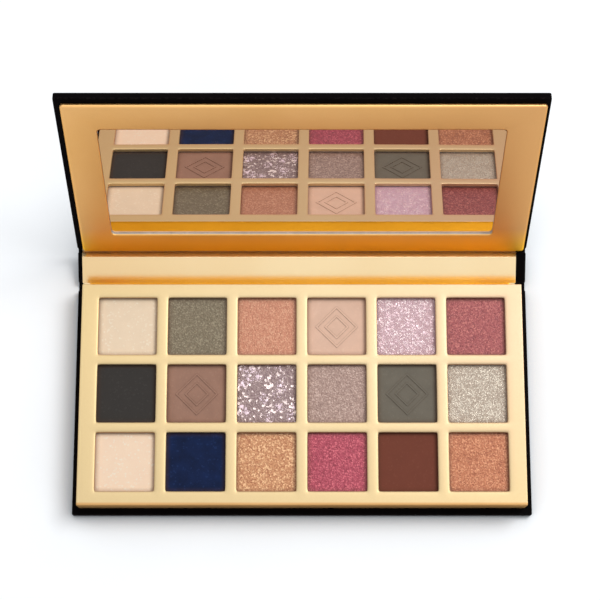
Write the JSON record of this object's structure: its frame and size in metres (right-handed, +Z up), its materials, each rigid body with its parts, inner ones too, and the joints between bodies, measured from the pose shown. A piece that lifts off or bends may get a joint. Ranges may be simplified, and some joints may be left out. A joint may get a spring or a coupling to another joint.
{
  "type": "eyeshadow palette",
  "caption": "Book-style cardboard eyeshadow palette, standing open: a gold foil tray of square powder pans, a folding spine and a mirror in the lid.",
  "frame": {"origin": "centre of the underside of the base board, which rests on the table", "axes": "+X along the width of the case, +Y from the front edge to the spine, +Z up"},
  "size_m": [0.1634, 0.1287, 0.0851],
  "materials": {
    "greyboard": "raw greyboard",
    "black_wrap": "matt laminated black wrap paper",
    "crease_paper": "wrap and gold lining paper glued together",
    "gold_lining": "satin gold paper",
    "gold_foil": "satin gold foil paper",
    "magnet": "nickel plated magnet",
    "glue": "hot-melt glue",
    "mirror": "thin silvered sheet",
    "tape": "double-sided foam tape",
    "tin": "pressed tinplate",
    "powder_r1c1": "pressed powder, matte cream",
    "powder_r1c2": "pressed powder, olive shimmer",
    "powder_r1c3": "pressed powder, peach copper shimmer",
    "powder_r1c4": "pressed powder, matte pink beige",
    "powder_r1c5": "pressed powder, pink glitter",
    "powder_r1c6": "pressed powder, rose shimmer",
    "powder_r2c1": "pressed powder, matte charcoal",
    "powder_r2c2": "pressed powder, matte mauve brown",
    "powder_r2c3": "pressed powder, lilac glitter",
    "powder_r2c4": "pressed powder, taupe shimmer",
    "powder_r2c5": "pressed powder, matte grey green",
    "powder_r2c6": "pressed powder, champagne glitter",
    "powder_r3c1": "pressed powder, matte pale peach",
    "powder_r3c2": "pressed powder, matte navy",
    "powder_r3c3": "pressed powder, gold copper shimmer",
    "powder_r3c4": "pressed powder, raspberry shimmer",
    "powder_r3c5": "pressed powder, matte red brown",
    "powder_r3c6": "pressed powder, coral shimmer"
  },
  "bodies": {
    "base": {"base_board": "greyboard", "base_wrap": "black_wrap", "base_lining": "gold_lining", "tray_floor": "greyboard", "tray_walls": "greyboard", "window_board": "greyboard", "tray_foil": "gold_foil", "pan_locator": "greyboard", "tray_magnets": "magnet", "pan_glue": "glue", "pan_r1c1": "tin", "pan_r1c2": "tin", "pan_r1c3": "tin", "pan_r1c4": "tin", "pan_r1c5": "tin", "pan_r1c6": "tin", "pan_r2c1": "tin", "pan_r2c2": "tin", "pan_r2c3": "tin", "pan_r2c4": "tin", "pan_r2c5": "tin", "pan_r2c6": "tin", "pan_r3c1": "tin", "pan_r3c2": "tin", "pan_r3c3": "tin", "pan_r3c4": "tin", "pan_r3c5": "tin", "pan_r3c6": "tin", "powder_r1c1": "powder_r1c1", "powder_r1c2": "powder_r1c2", "powder_r1c3": "powder_r1c3", "powder_r1c4": "powder_r1c4", "powder_r1c5": "powder_r1c5", "powder_r1c6": "powder_r1c6", "powder_r2c1": "powder_r2c1", "powder_r2c2": "powder_r2c2", "powder_r2c3": "powder_r2c3", "powder_r2c4": "powder_r2c4", "powder_r2c5": "powder_r2c5", "powder_r2c6": "powder_r2c6", "powder_r3c1": "powder_r3c1", "powder_r3c2": "powder_r3c2", "powder_r3c3": "powder_r3c3", "powder_r3c4": "powder_r3c4", "powder_r3c5": "powder_r3c5", "powder_r3c6": "powder_r3c6"},
    "spine": {"spine_board": "greyboard", "spine_wrap": "black_wrap", "spine_lining": "gold_lining", "lower_crease": "crease_paper"},
    "lid": {"lid_board": "greyboard", "lid_magnets": "magnet", "lid_wrap": "black_wrap", "lid_lining": "gold_lining", "lid_frame_board": "greyboard", "lid_frame_foil": "gold_foil", "mirror": "mirror", "mirror_tape": "tape", "upper_crease": "crease_paper"}
  },
  "joints": [
    {"name": "spine_hinge", "type": "hinge", "parent": "base", "child": "spine", "pos_m": [0, 0.0428, 0.0007], "axis": [1, 0, 0], "range_deg": [-23, 67], "deforming": ["lower_crease"]},
    {"name": "lid_hinge", "type": "hinge", "parent": "spine", "child": "lid", "pos_m": [0, 0.05632, 0.00644], "axis": [1, 0, 0], "range_deg": [-45.5, 44.5], "deforming": ["upper_crease"]}
  ]
}
